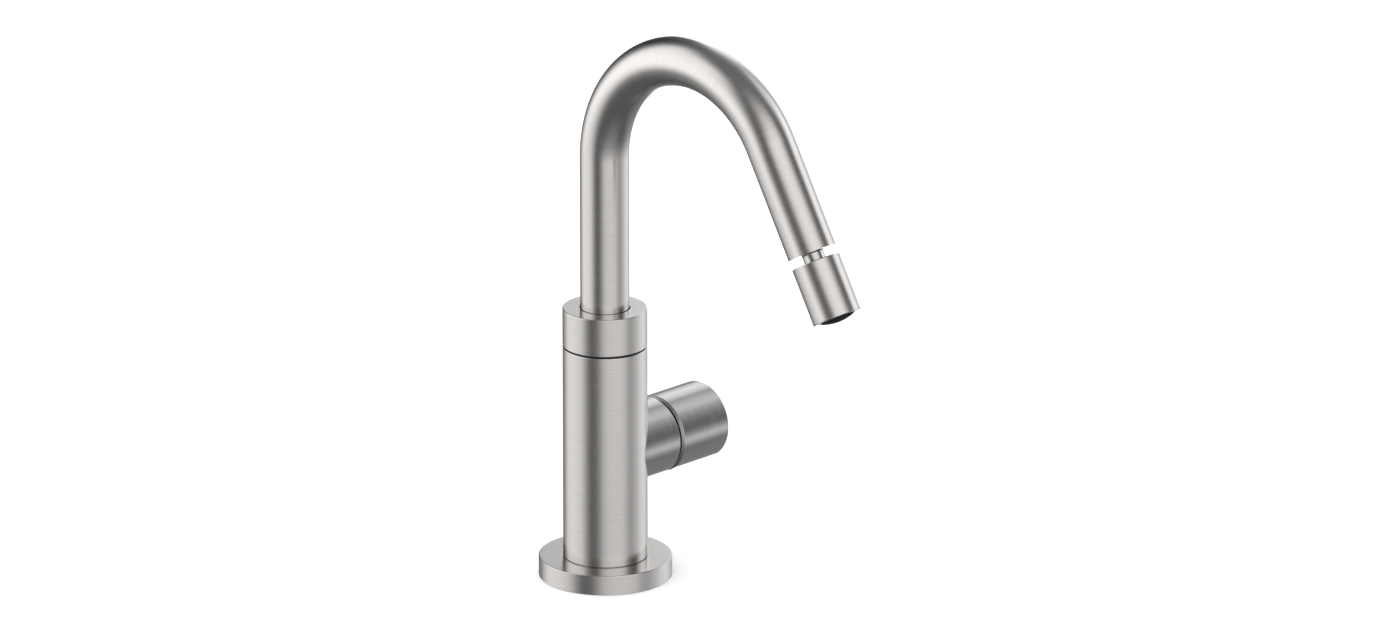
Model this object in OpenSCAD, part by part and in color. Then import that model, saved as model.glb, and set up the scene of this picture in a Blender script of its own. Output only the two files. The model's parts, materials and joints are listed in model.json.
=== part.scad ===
// Single-hole bidet mixer with a round foot, a straight column, a knob on its side
// and a swan-neck spout that turns on the column and ends in a ball-jointed outlet.
// Sizes are in millimetres. The origin is the centre of the foot's underside, +Z is up,
// the spout points to -Y and the knob to +X. Threads are drawn as plain cylinders.

/* [Foot] */
// Diameter of the round foot that covers the tap hole
foot_d = 60; // [56:0.5:75]
// Height of the foot
foot_h = 9.1; // [6:0.1:14]
// Width of the rubber ring let into the foot's underside
gasket_w = 3; // [2:0.1:5]
// Thickness of that rubber ring
gasket_h = 1.5; // [1:0.1:3]
// Distance of that rubber ring from the foot's outer edge
gasket_inset = 3; // [2:0.1:5]

/* [Column] */
// Diameter of the column and of the collar above it
column_d = 38; // [37:0.1:44]
// Height of the column's top edge above the basin
column_top = 107.8; // [104:0.1:130]
// Diameter of the column's lower end, inside the foot
shank_d = 36; // [35.5:0.1:36.5]

/* [Inlets and fixing] */
// Tapping diameter of the two hose threads
inlet_d = 8.92; // [8:0.01:9.2]
// Depth of the hose threads
inlet_depth = 12; // [8:0.5:16]
// Distance between the two hose threads
inlet_spacing = 13; // [12:0.1:13.4]
// Distance of the hose threads from the column's axis, away from the knob
inlet_back = 9; // [8.8:0.1:9.6]
// Tapping diameter of the fixing stud's thread
stud_d = 6.8; // [5:0.1:8.5]
// Depth of the fixing stud's thread
stud_depth = 15; // [10:0.5:25]
// Distance of the fixing stud from the column's axis, towards the knob
stud_offset = 9; // [6:0.1:11]
// Bore of the water ways in the column
waterway_d = 6; // [5:0.1:6.4]
// Distance of the mixed water's bore from the column's axis, away from the knob
mixed_back = 8.5; // [8:0.1:8.8]

/* [Boss and cartridge] */
// Height of the knob's axis above the basin
knob_z = 58.2; // [50:0.1:62]
// Diameter of the boss on the column's side
boss_d = 35; // [34:0.1:37]
// Distance of the boss's end face from the column's axis
boss_reach = 31; // [30.5:0.1:36]
// Chamfer round the boss's end
boss_chamfer = 0.8; // [0.4:0.05:1.2]
// Diameter of the ceramic cartridge
cartridge_d = 25; // [24:0.1:25.6]
// Distance of the cartridge's seat behind the column's axis
seat_back = 4; // [3.6:0.1:4.2]
// Outer diameter of the thread that holds the cartridge's nut
nut_d = 30; // [28:0.1:31]
// Length of that thread
nut_thread_h = 9; // [7:0.1:9.5]
// Bore of the cartridge's two inlet ports
port_d = 3.8; // [3:0.1:4]
// Bore of the cartridge's mixed water port, in its middle
mixed_port_d = 4.4; // [3.6:0.1:4.6]
// Radius of the circle that the inlet ports lie on
port_circle_r = 6.5; // [6.4:0.1:6.7]
// Half the angle between the inlet ports
port_angle = 40; // [36:1:50]
// Diameter of the ceramic discs
disc_d = 19.2; // [18.6:0.1:19.4]
// Thickness of the fixed ceramic disc
fixed_disc_h = 3; // [2.5:0.1:3.5]
// Thickness of the moving ceramic disc
moving_disc_h = 2.5; // [2.2:0.1:3]
// Diameter of the cartridge's stem
stem_d = 12; // [11:0.1:13]
// Diameter over the stem's splines
spline_d = 9; // [8:0.1:10]
// Number of splines
spline_count = 20; // [12:1:24]

/* [Knob] */
// Diameter of the knob
knob_d = 35; // [33:0.1:40]
// Length of the knob
knob_length = 29.2; // [25:0.1:40]
// Gap between the boss's end face and the knob
knob_gap = 1.2; // [0.8:0.1:3]
// Chamfer round the knob's inner edge
knob_chamfer = 1; // [0.4:0.05:1.5]
// Wall of the hollow knob
knob_wall = 2; // [1.4:0.1:2.6]
// Thickness of the knob's outer end
knob_end_wall = 2.5; // [1.5:0.1:4]
// Angle that the knob turns through, from closed to full hot
knob_range = 110; // [80:1:120]

/* [Spout] */
// Outer diameter of the spout tube
tube_d = 22; // [21.4:0.1:23]
// Wall of the spout tube
tube_wall = 1; // [0.8:0.05:1.4]
// Height at which the tube starts to bend
bend_z = 196.5; // [150:0.5:260]
// Radius of the bend, to the tube's centre line
bend_r = 55; // [40:0.5:80]
// Angle of the bend
bend_angle = 150; // [120:1:165]
// Straight length after the bend
leg_length = 50; // [30:0.5:80]
// Height of the collar at the tube's foot
collar_h = 17.4; // [14:0.1:25]
// Height of the dark groove between the column and the collar
swivel_gap = 0.7; // [0.4:0.1:1.5]
// Diameter of the spigot that turns in the column's top
spigot_d = 24; // [23.6:0.1:26]
// Length of that spigot below the column's top edge
spigot_length = 25.8; // [25:0.1:27.5]
// Angle that the spout turns to each side
swivel_range = 60; // [20:1:75]

/* [Outlet] */
// Gap between the tube's end and the outlet barrel
outlet_gap = 4; // [3.6:0.1:5]
// Outer diameter of the outlet barrel
barrel_d = 22; // [21.8:0.1:24]
// Length of the outlet barrel
barrel_length = 26.5; // [25:0.1:34]
// Diameter of the ball that the barrel tilts on
ball_d = 17; // [16.8:0.1:17.2]
// Diameter of the neck between the tube and the ball
neck_d = 9.7; // [9:0.1:9.8]
// Distance from the barrel's inner end to the ball's centre
ball_depth = 7; // [6.8:0.1:7.4]
// Angle that the barrel tilts to each side
tilt_range = 12; // [5:1:12]
// Diameter of the black aerator insert
aerator_d = 17.5; // [17:0.1:18]
// Diameter of the black dome on the aerator insert
dome_d = 15.4; // [14:0.1:16]
// Length of that dome that stands out of the barrel
aerator_proud = 1.9; // [1:0.1:2.4]

/* [Fits and edges] */
// Radial play of pieces that turn
running_gap = 0.05; // [0.02:0.01:0.08]
// Radial play of pieces that are pushed or screwed together
seat_gap = 0.05; // [0.02:0.01:0.08]
// Water film between the ceramic discs
disc_film = 0.02; // [0.01:0.01:0.04]
// Section of the O-rings
o_ring_d = 1.8; // [1.6:0.05:1.9]
// Rounding of the visible rims
edge_r = 0.4; // [0.2:0.05:0.6]

/* [Hidden] */

$fn = 72;
edge_steps = 4;
over = 1;

foot_r = foot_d / 2;
column_r = column_d / 2;
shank_r = shank_d / 2;
waterway_r = waterway_d / 2;
gasket_out_r = foot_r - gasket_inset;
gasket_in_r = gasket_out_r - gasket_w;

// Places along the knob's axis, measured from the column's axis
boss_r = boss_d / 2;
cartridge_r = cartridge_d / 2;
seat_u = -seat_back;
seal_stand = 0.5;
seal_sink = 0.6;
seal_land = 0.2;
seal_ring_w = 0.8;
base_h = 3;
base_u = seat_u + seal_stand;
disc_u = base_u + base_h;
moving_disc_u = disc_u + fixed_disc_h + disc_film;
carrier_u = moving_disc_u + moving_disc_h;
carrier_h = 3.5;
stem_flange_u = carrier_u + carrier_h;
stem_flange_h = 4.3;
stem_end_play = 0.1;
room_top_u = stem_flange_u + stem_flange_h + stem_end_play;
housing_roof_h = 6;
shoulder_u = room_top_u + housing_roof_h;
tower_h = 6;
tower_u = shoulder_u + tower_h;
nut_thread_u = boss_reach - nut_thread_h;
nut_set_back = 2.5;
nut_end_u = boss_reach - nut_set_back;
nut_wall = 2.5;
nut_hex_r = nut_d / 2 - nut_wall;
nut_hex_h = 3;
disc_r = disc_d / 2;
disc_play = 0.4;
room_r = disc_r + disc_play;
carrier_inset = 0.7;
carrier_r = disc_r - carrier_inset;
stop_gap = 0.15;
stop_r = room_r - stop_gap;
stop_inner_r = carrier_r + stop_gap;
stop_play = 2;
lug_angle = 60;
lug_h = 1;
lug_circle_r = 5.4;
rib_angle = 360 - lug_angle - knob_range - 2 * stop_play;
lug_start = rib_angle + stop_play;
stem_r = stem_d / 2;
stem_flange_inset = 0.5;
stem_flange_r = carrier_r - stem_flange_inset;
stem_groove_u = room_top_u + housing_roof_h / 2;
tower_wall = 2.5;
tower_r = stem_r + tower_wall;
port_r = port_d / 2;
port_drop = port_circle_r * cos(port_angle);
port_y = port_circle_r * sin(port_angle);
way_past = 1;
mixed_way_z = knob_z - mixed_port_d / 2 - way_past;
ports = [[port_drop, port_y, port_r], [port_drop, -port_y, port_r], [0, 0, mixed_port_d / 2]];
pin_r = 1.2;
pin_h = 2;
pin_y = 8.6;
pin_rise = 5.2;
chamber_h = 1.2;
chamber_angle = 70;
chamber_r = port_circle_r + port_r;
chamber_play = 2;
chamber_start = 360 - port_angle - asin(port_r / port_circle_r) - chamber_play - chamber_angle;

// Knob, splines and screws
knob_r = knob_d / 2;
knob_u = boss_reach + knob_gap;
knob_end_u = knob_u + knob_length;
knob_bore_r = knob_r - knob_wall;
spline_r = spline_d / 2;
spline_depth = 0.6;
spline_root_r = spline_r - spline_depth;
hub_wall = 3;
hub_r = spline_r + hub_wall;
insert_set_back = 3.8;
insert_u = knob_u + insert_set_back;
insert_h = 8;
insert_end_u = insert_u + insert_h;
hub_clearance = 0.6;
hub_u = max(tower_u, nut_end_u) + hub_clearance;
head_h = 2.4;
head_r = 3.5;
web_h = 1.6;
web_u = insert_end_u - head_h - web_h;
stem_end_gap = 0.1;
stem_end_u = web_u - stem_end_gap;
screw_r = 1.6;
screw_grip = 8;
grub_r = 2;
grub_u = insert_u + insert_h / 2;
grub_bite = 1;
grub_sink = 0.3;
key_h = 1.4;

// Heights on the column's axis
spigot_r = spigot_d / 2;
socket_r = spigot_r + running_gap;
spigot_bottom = column_top - spigot_length;
socket_room = 2;
socket_floor = spigot_bottom - socket_room;
collar_bottom = column_top + swivel_gap;
collar_top = collar_bottom + collar_h;
washer_inset = 0.8;
spigot_flange_inset = 4;
spigot_flange_r = column_r - spigot_flange_inset;
spigot_flange_h = 3;
tube_bottom = collar_bottom + spigot_flange_h;
tube_r = tube_d / 2;
tube_bore_r = tube_r - tube_wall;
bend_draw = 0.05;
bend_lap = 0.1;
spigot_neck_r = tube_bore_r - seat_gap;
spigot_neck_h = 9.5;
spigot_wall = 2;
spigot_bore_r = spigot_neck_r - spigot_wall;
o_ring_r = o_ring_d / 2;
groove_play = 0.4;
groove_h = o_ring_d + groove_play;
ring_play = 0.05;
groove_depth = o_ring_d + ring_play;
first_ring_rise = 3;
o_ring_pitch = 4.5;
o_ring_heights = [for (i = [0:1]) spigot_bottom + first_ring_rise + i * o_ring_pitch];
guide_h = 3;
guide_drop = 5;
guide_z = column_top - guide_drop;
guide_depth = 1.2;
guide_gap = 0.02;
swivel_screw_r = 2.5;
swivel_screw_drop = 9;
swivel_screw_z = column_top - swivel_screw_drop;
swivel_screw_sink = 0.4;
swivel_hex_r = 1.5;
swivel_hex_h = 2.5;
dog_r = 1.5;
dog_depth = 1.6;
dog_play = 0.4;
swivel_play = 1;
swivel_slot_r = spigot_r - dog_depth - dog_play;
swivel_slot_h = 2 * (dog_r + dog_play);
swivel_slot_half_angle = swivel_range + asin(dog_r / (spigot_r - dog_depth)) + swivel_play;
slot_start = 90 - swivel_slot_half_angle;

// Lengths along the outlet, measured from the tube's end
barrel_r = barrel_d / 2;
barrel_t = outlet_gap;
barrel_end_t = barrel_t + barrel_length;
pivot_t = barrel_t + ball_depth;
ball_r = ball_d / 2;
neck_r = neck_d / 2;
neck_step = 0.85;
neck_thread_r = neck_r - neck_step;
flare_r = 1.6;
plug_h = 8;
plug_r = tube_bore_r - seat_gap;
plug_groove_t = -5.5;
stud_bore_r = 2.8;
ball_flat = 0.9;
hex_r = 3.4;
hex_h = 3;
liner_h = 3.6;
liner_wall = 0.5;
ball_bowl_r = ball_r + running_gap;
liner_r = ball_bowl_r + liner_wall;
liner_bowl_r = liner_r + running_gap;
liner_edge_play = 0.4;
liner_room = liner_r * sin(asin(liner_h / 2 / liner_r) + tilt_range) + liner_edge_play;
lip_h = 1;
lip_t = pivot_t - liner_room - lip_h;
both_tilts = sqrt(2) * tilt_range;
mouth_play = 0.9;
mouth_r = neck_reach(ball_depth) + mouth_play;
throat_r = neck_reach(liner_room + lip_h) + mouth_play;
retainer_wall = 0.75;
thread_r = liner_bowl_r + retainer_wall;
barrel_bore_r = thread_r + seat_gap;
seal_r = 0.8;
seal_angle = 45;
seal_gap = 0.02;
seal_off = ball_r + seal_r + seal_gap;
seal_ring_r = seal_off * sin(seal_angle);
seal_t = pivot_t + seal_off * cos(seal_angle);
seal_play = 0.2;
seal_pocket_r = seal_ring_r + seal_r + seal_play;
seal_room = 0.25;
web_t = seal_t + seal_r + seal_room;
barrel_web_h = 1;
web_set_back = 0.4;
barrel_web_r = seal_ring_r - seal_r - web_set_back;
aerator_r = aerator_d / 2;
aerator_bore_r = aerator_r + seat_gap;
washer_t = web_t + barrel_web_h;
washer_h = 1.2;
flow_t = washer_t + washer_h;
flow_h = 1.5;
jet_count = 16;
jet_r = 0.5;
jet_circle_r = 4.2;
cage_wall = 1.05;
cage_bore_r = aerator_r - cage_wall;
cage_sink = 0.3;
cage_end_t = barrel_end_t - cage_sink;
dome_r = dome_d / 2;
dome_rise = 1.5;
dome_end_t = barrel_end_t + aerator_proud;
dome_ball_r = (dome_r * dome_r + dome_rise * dome_rise) / (2 * dome_rise);
dome_foot_angle = acos(dome_r / dome_ball_r);
comb_pitch = 2;
comb_wall = 0.35;
comb_rows = 4;
comb_lap = 0.8;
comb_t = cage_end_t - comb_lap;
comb_inner_r = cage_bore_r - comb_pitch / 2;
comb_outer_r = dome_r + comb_wall;
edge_cell_rise = 0.2;
screen_h = 0.3;
screen_count = 3;
screen_pitch = 1.2;

// How far the tilted neck reaches from the barrel's axis at a distance behind the pivot
function neck_reach(depth) = depth * tan(both_tilts) + neck_r / cos(both_tilts);

// Points of a round corner, from one angle to another
function arc(cx, cy, r, from, to) =
    [for (i = [0:edge_steps])
        let (a = from + (to - from) * i / edge_steps)
        [cx + r * cos(a), cy + r * sin(a)]];

// Teeth between a root and a tip radius, four points a tooth
function teeth(root, tip, count) =
    [for (i = [0:count - 1], k = [0:3])
        let (a = (i + k / 4) * 360 / count, r = k < 2 ? tip : root)
        [r * cos(a), r * sin(a)]];

// A turned ring between two radii and two heights
module ring(outer_r, inner_r, low, high) {
    rotate_extrude()
        translate([inner_r, low])
            square([outer_r - inner_r, high - low]);
}

// A turned ring whose outer edges are rounded
module rounded_ring(outer_r, inner_r, low, high, low_edge, high_edge) {
    rotate_extrude()
        polygon(concat(
            [[inner_r, low]],
            low_edge ? arc(outer_r - edge_r, low + edge_r, edge_r, -90, 0) : [[outer_r, low]],
            high_edge ? arc(outer_r - edge_r, high - edge_r, edge_r, 0, 90) : [[outer_r, high]],
            [[inner_r, high]]));
}

// Part of a turned ring, from a start angle and through an angle
module ring_sector(outer_r, inner_r, low, high, start, angle) {
    rotate([0, 0, start])
        rotate_extrude(angle = angle)
            translate([inner_r, low])
                square([outer_r - inner_r, high - low]);
}

module o_ring(ring_r, section_r, z) {
    translate([0, 0, z])
        rotate_extrude()
            translate([ring_r, 0])
                circle(r = section_r);
}

// Turns +Z to +X, with the knob's axis as the new Z axis and the column's axis at zero
module at_knob() {
    translate([0, 0, knob_z])
        rotate([0, 90, 0])
            children();
}

// Puts the bend's centre at the origin, with the bend in the new XY plane
module at_bend() {
    translate([0, -bend_r, bend_z])
        rotate([90, 0, 90])
            children();
}

// Puts the end of the spout tube at the origin, with the water's way as the new Z axis
module at_outlet() {
    translate([0, -bend_r * (1 - cos(bend_angle)), bend_z + bend_r * sin(bend_angle)])
        rotate([bend_angle, 0, 0])
            translate([0, 0, leg_length])
                children();
}

// The part of its child that lies between two heights
module slab(low, high, r) {
    intersection() {
        children();
        translate([0, 0, low])
            cylinder(r = r, h = high - low);
    }
}

module base_flange() {
    color("lightgray")
        difference() {
            rounded_ring(foot_r, shank_r + seat_gap, 0, foot_h, false, true);
            ring(gasket_out_r, gasket_in_r, -over, gasket_h);
        }
}

module deck_gasket() {
    color("black")
        ring(gasket_out_r - seat_gap, gasket_in_r + seat_gap, 0, gasket_h);
}

module column_outline() {
    rotate_extrude()
        polygon(concat(
            [[0, 0], [shank_r, 0], [shank_r, foot_h], [column_r, foot_h]],
            arc(column_r - edge_r, column_top - edge_r, edge_r, 0, 90),
            [[0, column_top]]));
}

module boss_outline() {
    at_knob()
        rotate_extrude()
            polygon([
                [0, 0], [boss_r, 0], [boss_r, boss_reach - boss_chamfer],
                [boss_r - boss_chamfer, boss_reach], [0, boss_reach]]);
}

// The cartridge's room in the boss, with the thread for its nut
module cartridge_room() {
    at_knob() {
        translate([0, 0, seat_u])
            cylinder(r = cartridge_r + 2 * seat_gap, h = boss_reach - seat_u);
        translate([0, 0, nut_thread_u])
            cylinder(r = nut_d / 2, h = nut_thread_h + over);
    }
}

// The bores that lead from the hoses to the cartridge and from there up to the spout
module water_ways() {
    for (side = [-1, 1])
        translate([-inlet_back, side * inlet_spacing / 2, 0]) {
            translate([0, 0, -over])
                cylinder(d = inlet_d, h = inlet_depth + over);
            cylinder(r = waterway_r, h = knob_z - port_drop + port_r + way_past);
        }
    translate([-mixed_back, 0, mixed_way_z])
        cylinder(r = waterway_r, h = socket_floor - mixed_way_z + over);
    at_knob()
        for (port = ports)
            translate([port[0], port[1], -inlet_back])
                cylinder(r = port[2], h = inlet_back + seat_u + over);
}

module locating_pins(r, h) {
    for (side = [-1, 1])
        translate([-pin_rise, side * pin_y, seat_u - h])
            cylinder(r = r, h = h + over);
}

module valve_body() {
    color("silver")
        difference() {
            union() {
                column_outline();
                boss_outline();
            }
            translate([0, 0, socket_floor])
                cylinder(r = socket_r, h = column_top - socket_floor + over);
            cartridge_room();
            water_ways();
            at_knob()
                locating_pins(pin_r + seat_gap, pin_h + seat_gap);
            translate([stud_offset, 0, -over])
                cylinder(d = stud_d, h = stud_depth + over);
            translate([0, spigot_r - over, swivel_screw_z])
                rotate([-90, 0, 0])
                    cylinder(r = swivel_screw_r, h = column_r);
        }
}

module port_seals() {
    color("black")
        at_knob()
            for (port = ports)
                translate([port[0], port[1], 0])
                    ring(port[2] + seal_land + seal_ring_w, port[2] + seal_land, seat_u,
                         base_u + seal_sink);
}

module cartridge_base() {
    color("whitesmoke")
        at_knob()
            difference() {
                union() {
                    translate([0, 0, base_u])
                        cylinder(r = cartridge_r, h = base_h);
                    locating_pins(pin_r, pin_h);
                }
                for (port = ports)
                    translate([port[0], port[1], 0]) {
                        translate([0, 0, base_u - over])
                            cylinder(r = port[2], h = base_h + 2 * over);
                        translate([0, 0, base_u - over])
                            cylinder(r = port[2] + seal_land + seal_ring_w + seat_gap,
                                     h = seal_sink + over);
                    }
            }
}

module cartridge_housing() {
    color("whitesmoke")
        at_knob()
            union() {
                rotate_extrude()
                    polygon([
                        [room_r, disc_u], [cartridge_r, disc_u], [cartridge_r, shoulder_u],
                        [tower_r, shoulder_u], [tower_r, tower_u], [stem_r + running_gap, tower_u],
                        [stem_r + running_gap, room_top_u], [room_r, room_top_u]]);
                ring_sector(room_r + over / 2, stop_inner_r, carrier_u + stem_end_play,
                            stem_flange_u - stem_end_play, 0, rib_angle);
            }
}

module fixed_disc() {
    color("ivory")
        at_knob()
            difference() {
                translate([0, 0, disc_u])
                    cylinder(r = disc_r, h = fixed_disc_h);
                for (port = ports)
                    translate([port[0], port[1], disc_u - over])
                        cylinder(r = port[2], h = fixed_disc_h + 2 * over);
            }
}

// The nut has a nose on the cartridge's shoulder and a hexagon for its key
module retaining_nut() {
    color("goldenrod")
        at_knob()
            difference() {
                rotate_extrude()
                    polygon([
                        [tower_r + 2 * seat_gap, shoulder_u], [cartridge_r, shoulder_u],
                        [cartridge_r, nut_thread_u + seat_gap],
                        [nut_d / 2 - seat_gap, nut_thread_u + seat_gap],
                        [nut_d / 2 - seat_gap, nut_end_u], [tower_r + 2 * seat_gap, nut_end_u]]);
                translate([0, 0, nut_end_u - nut_hex_h])
                    cylinder(r = nut_hex_r, h = nut_hex_h + over, $fn = 6);
            }
}

module swivel_washer() {
    color("black")
        ring(column_r - washer_inset, socket_r + seat_gap, column_top, collar_bottom);
}

// A grub screw whose dog point limits the spout's turn
module swivel_screw() {
    color("dimgray")
        translate([0, 0, swivel_screw_z])
            rotate([-90, 0, 0])
                difference() {
                    union() {
                        translate([0, 0, spigot_r - dog_depth])
                            cylinder(r = dog_r, h = dog_depth + over);
                        translate([0, 0, spigot_r + swivel_screw_sink])
                            cylinder(r = swivel_screw_r - seat_gap,
                                     h = column_r - spigot_r - 2 * swivel_screw_sink);
                    }
                    translate([0, 0, column_r - swivel_screw_sink - swivel_hex_h])
                        cylinder(r = swivel_hex_r, h = swivel_hex_h + over, $fn = 6);
                }
}

module spline_bar(grow, low, high) {
    translate([0, 0, low])
        linear_extrude(height = high - low)
            polygon(teeth(spline_root_r + grow, spline_r + grow, spline_count));
}

module cartridge_stem() {
    color("silver")
        at_knob()
            difference() {
                union() {
                    rotate_extrude()
                        polygon([
                            [0, stem_flange_u], [stem_flange_r, stem_flange_u],
                            [stem_flange_r, stem_flange_u + stem_flange_h],
                            [stem_r, stem_flange_u + stem_flange_h],
                            [stem_r, stem_groove_u], [stem_r - groove_depth, stem_groove_u],
                            [stem_r - groove_depth, stem_groove_u + groove_h],
                            [stem_r, stem_groove_u + groove_h], [stem_r, tower_u], [0, tower_u]]);
                    spline_bar(0, tower_u, stem_end_u);
                }
                translate([0, 0, stem_end_u - screw_grip])
                    cylinder(r = screw_r + seat_gap, h = screw_grip + over);
            }
}

module stem_o_ring() {
    color("black")
        at_knob()
            o_ring(stem_r - o_ring_r, o_ring_r, stem_groove_u + groove_h / 2);
}

module carrier_lugs(r, h) {
    for (a = [30, 150, 270])
        rotate([0, 0, a])
            translate([lug_circle_r, 0, carrier_u - h])
                cylinder(r = r, h = h + over);
}

// Drives the moving disc. The knob is closed at rest, with this outer lug at the start of
// its way round from one side of the housing's rib to the other
module disc_carrier() {
    color("dimgray")
        at_knob()
            union() {
                translate([0, 0, carrier_u])
                    cylinder(r = carrier_r, h = carrier_h);
                ring_sector(stop_r, carrier_r - over, carrier_u + stem_end_play,
                            stem_flange_u - stem_end_play, lug_start, lug_angle);
                carrier_lugs(pin_r, lug_h);
            }
}

// Its chamber joins the middle port to the cold port first, and last to the hot port
module moving_disc() {
    color("ivory")
        at_knob()
            difference() {
                translate([0, 0, moving_disc_u])
                    cylinder(r = carrier_r, h = moving_disc_h);
                ring_sector(chamber_r, 0, moving_disc_u - over, moving_disc_u + chamber_h,
                            chamber_start, chamber_angle);
                translate([0, 0, moving_disc_u - over])
                    cylinder(d = mixed_port_d, h = chamber_h + over);
                carrier_lugs(pin_r + seat_gap, lug_h + seat_gap);
            }
}

module knob() {
    color("silver")
        difference() {
            at_knob()
                rotate_extrude()
                    polygon(concat(
                        [[knob_bore_r, knob_u], [knob_r - knob_chamfer, knob_u],
                         [knob_r, knob_u + knob_chamfer]],
                        arc(knob_r - edge_r, knob_end_u - edge_r, edge_r, 0, 90),
                        [[0, knob_end_u], [0, knob_end_u - knob_end_wall],
                         [knob_bore_r, knob_end_u - knob_end_wall]]));
            at_knob()
                translate([0, 0, grub_u])
                    rotate([0, 90, 0])
                        cylinder(r = grub_r + seat_gap, h = knob_r + over);
        }
}

// The adapter that joins the knob to the stem's splines
module knob_insert() {
    color("black")
        at_knob()
            difference() {
                rotate_extrude()
                    polygon([
                        [0, hub_u], [hub_r, hub_u], [hub_r, insert_u], [knob_bore_r - seat_gap, insert_u],
                        [knob_bore_r - seat_gap, insert_end_u], [0, insert_end_u]]);
                spline_bar(seat_gap, hub_u - over, web_u);
                translate([0, 0, web_u - over])
                    cylinder(r = screw_r + seat_gap, h = web_h + 2 * over);
                translate([0, 0, web_u + web_h])
                    cylinder(r = head_r + seat_gap, h = head_h + over);
                translate([0, 0, grub_u])
                    rotate([0, 90, 0])
                        translate([0, 0, knob_bore_r - grub_bite - seat_gap])
                            cylinder(r = grub_r + seat_gap, h = knob_wall);
            }
}

module insert_screw() {
    color("dimgray")
        at_knob()
            difference() {
                union() {
                    translate([0, 0, stem_end_u - screw_grip + seat_gap])
                        cylinder(r = screw_r, h = screw_grip + stem_end_gap + web_h);
                    translate([0, 0, web_u + web_h])
                        cylinder(r = head_r, h = head_h - seat_gap);
                }
                translate([0, 0, insert_end_u - key_h])
                    cylinder(r = screw_r, h = key_h + over, $fn = 6);
            }
}

module knob_grub_screw() {
    color("dimgray")
        at_knob()
            translate([0, 0, grub_u])
                rotate([0, 90, 0])
                    difference() {
                        translate([0, 0, knob_bore_r - grub_bite])
                            cylinder(r = grub_r, h = grub_bite + knob_wall - grub_sink);
                        translate([0, 0, knob_r - grub_sink - key_h])
                            cylinder(r = grub_r / 2, h = key_h + over, $fn = 6);
                    }
}

module spout_collar() {
    color("silver")
        difference() {
            rounded_ring(column_r, tube_r + seat_gap, collar_bottom, collar_top, true, true);
            ring(spigot_flange_r, 0, collar_bottom - over, tube_bottom);
            translate([0, 0, collar_top - edge_r])
                cylinder(r1 = tube_r + seat_gap, r2 = tube_r + seat_gap + 2 * edge_r, h = 2 * edge_r);
        }
}

// One tube: its two straight lengths lap a little over the bend, which is drawn in a trace
module spout_tube() {
    color("silver")
        union() {
            ring(tube_r, tube_bore_r, tube_bottom, bend_z + bend_lap);
            at_bend()
                rotate_extrude(angle = bend_angle)
                    translate([bend_r, 0])
                        difference() {
                            circle(r = tube_r - bend_draw);
                            circle(r = tube_bore_r - bend_draw);
                        }
            at_outlet()
                ring(tube_r, tube_bore_r, -leg_length - bend_lap, 0);
        }
}

module spout_spigot() {
    color("goldenrod")
        difference() {
            rotate_extrude()
                polygon([
                    [spigot_bore_r, spigot_bottom], [spigot_r - edge_r, spigot_bottom],
                    [spigot_r, spigot_bottom + edge_r], [spigot_r, collar_bottom],
                    [spigot_flange_r - seat_gap, collar_bottom], [spigot_flange_r - seat_gap, tube_bottom],
                    [spigot_neck_r, tube_bottom], [spigot_neck_r, tube_bottom + spigot_neck_h],
                    [spigot_bore_r, tube_bottom + spigot_neck_h]]);
            for (z = o_ring_heights)
                ring(spigot_r + over, spigot_r - groove_depth, z - groove_h / 2, z + groove_h / 2);
            ring(spigot_r + over, spigot_r - guide_depth, guide_z, guide_z + guide_h);
            ring_sector(spigot_r + over, swivel_slot_r, swivel_screw_z - swivel_slot_h / 2,
                        swivel_screw_z + swivel_slot_h / 2, slot_start, 2 * swivel_slot_half_angle);
        }
}

module spigot_o_rings() {
    color("black")
        for (z = o_ring_heights)
            o_ring(spigot_r - o_ring_r, o_ring_r, z);
}

module guide_ring() {
    color("whitesmoke")
        ring(socket_r - guide_gap, spigot_r - guide_depth + guide_gap, guide_z + guide_gap,
             guide_z + guide_h - guide_gap);
}

// Closes the tube's end, with a flare down to the neck
module outlet_plug() {
    color("silver")
        at_outlet()
            rotate_extrude()
                polygon(concat(
                    [[neck_thread_r + seat_gap, -plug_h], [plug_r, -plug_h],
                     [plug_r, plug_groove_t], [plug_r - groove_depth, plug_groove_t],
                     [plug_r - groove_depth, plug_groove_t + groove_h], [plug_r, plug_groove_t + groove_h],
                     [plug_r, 0]],
                    arc(neck_r + flare_r, flare_r, flare_r, 270, 180),
                    [[neck_thread_r + seat_gap, flare_r]]));
}

module plug_o_ring() {
    color("black")
        at_outlet()
            o_ring(plug_r - o_ring_r, o_ring_r, plug_groove_t + groove_h / 2);
}

module ball_stud() {
    color("silver")
        at_outlet()
            difference() {
                union() {
                    translate([0, 0, -plug_h])
                        cylinder(r = neck_thread_r, h = plug_h + flare_r);
                    translate([0, 0, flare_r])
                        cylinder(r = neck_r, h = pivot_t - flare_r);
                    slab(0, pivot_t + ball_r - ball_flat, ball_d)
                        translate([0, 0, pivot_t])
                            sphere(r = ball_r);
                }
                translate([0, 0, -plug_h - over])
                    cylinder(r = stud_bore_r, h = plug_h + pivot_t + ball_r + over);
                translate([0, 0, pivot_t + ball_r - ball_flat - hex_h])
                    cylinder(r = hex_r, h = hex_h + over, $fn = 6);
            }
}

// A ball's zone between two distances from the pivot
module zone(r, low, high) {
    slab(pivot_t + low, pivot_t + high, 2 * r)
        translate([0, 0, pivot_t])
            sphere(r = r);
}

module ball_liner() {
    color("whitesmoke")
        at_outlet()
            difference() {
                zone(liner_r, -liner_h / 2, liner_h / 2);
                translate([0, 0, pivot_t])
                    sphere(r = ball_bowl_r);
            }
}

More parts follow.
